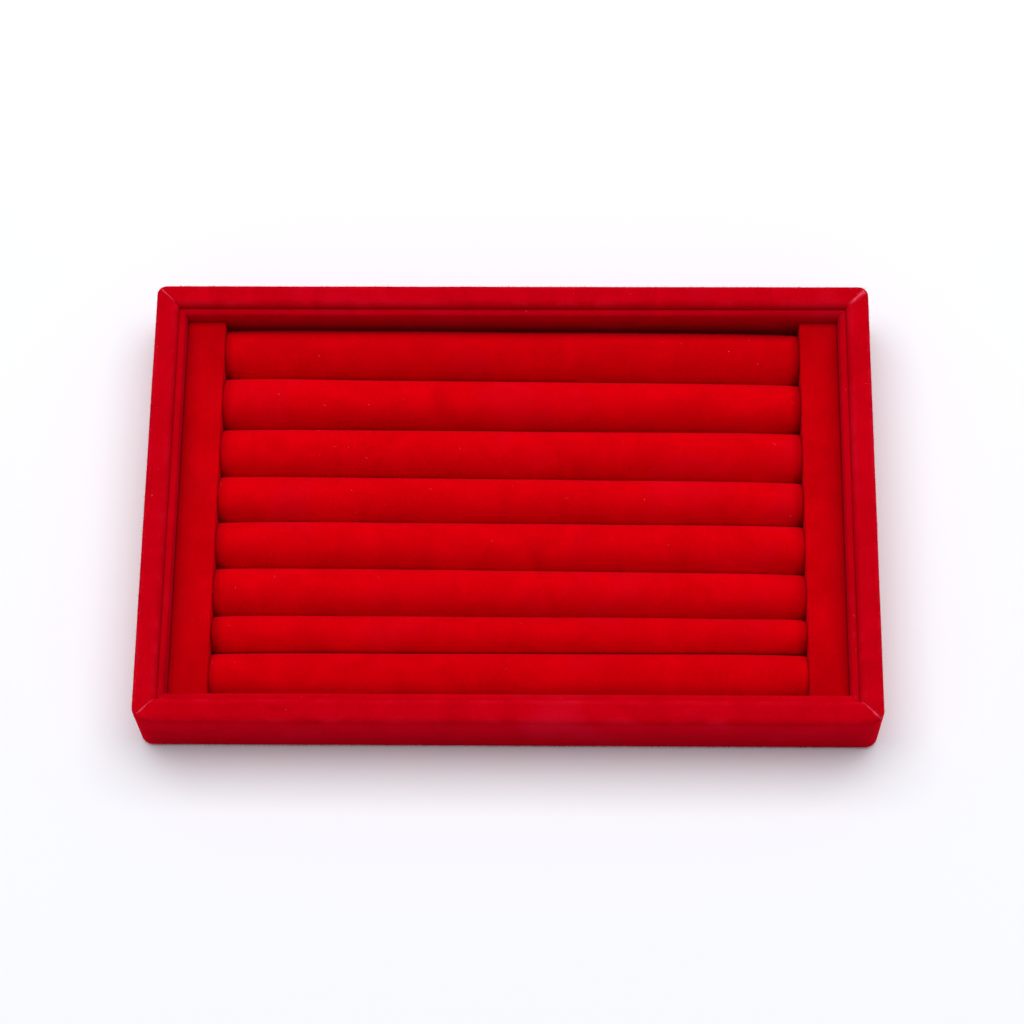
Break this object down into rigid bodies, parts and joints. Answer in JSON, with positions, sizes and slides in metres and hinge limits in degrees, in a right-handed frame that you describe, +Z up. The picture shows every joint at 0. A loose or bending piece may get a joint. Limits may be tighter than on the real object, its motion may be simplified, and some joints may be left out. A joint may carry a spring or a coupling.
{
  "type": "jewelry tray",
  "caption": "Shallow rectangular velvet-covered jewelry tray with a mitred rim, an inner ledge and a lift-out pad of stuffed rolls that grip finger rings.",
  "frame": {"origin": "on the table, under the middle of the tray", "axes": "+X along the tray, to the right when its front faces you; +Y to the back; +Z up"},
  "size_m": [0.225, 0.145, 0.0255],
  "materials": {
    "red_velvet": "short dense pile, soft sheen",
    "fibreboard": "sawn medium-density fibreboard",
    "hardboard": "pressed hardboard",
    "grey_board": "plain grey board",
    "foam": "soft open-cell foam",
    "flocked_paper": "black flocked paper"
  },
  "bodies": {
    "tray": {"front_rail": "fibreboard", "front_rail_velvet": "red_velvet", "front_liner_card": "grey_board", "front_liner_velvet": "red_velvet", "right_rail": "fibreboard", "right_rail_velvet": "red_velvet", "right_liner_card": "grey_board", "right_liner_velvet": "red_velvet", "back_rail": "fibreboard", "back_rail_velvet": "red_velvet", "back_liner_card": "grey_board", "back_liner_velvet": "red_velvet", "left_rail": "fibreboard", "left_rail_velvet": "red_velvet", "left_liner_card": "grey_board", "left_liner_velvet": "red_velvet", "base_board": "hardboard", "floor_lining": "flocked_paper", "underside_sheet": "flocked_paper"},
    "ring_pad": {"pad_card": "grey_board", "left_bar_core": "fibreboard", "left_bar_velvet": "red_velvet", "right_bar_core": "fibreboard", "right_bar_velvet": "red_velvet", "roll_1_foam": "foam", "roll_1_sleeve": "red_velvet", "roll_2_foam": "foam", "roll_2_sleeve": "red_velvet", "roll_3_foam": "foam", "roll_3_sleeve": "red_velvet", "roll_4_foam": "foam", "roll_4_sleeve": "red_velvet", "roll_5_foam": "foam", "roll_5_sleeve": "red_velvet", "roll_6_foam": "foam", "roll_6_sleeve": "red_velvet", "roll_7_foam": "foam", "roll_7_sleeve": "red_velvet", "roll_8_foam": "foam", "roll_8_sleeve": "red_velvet"}
  },
  "joints": [
    {"name": "pad_lift", "type": "slide", "parent": "tray", "child": "ring_pad", "axis": [0, 0, 1], "range_m": [0, 0.03]}
  ]
}
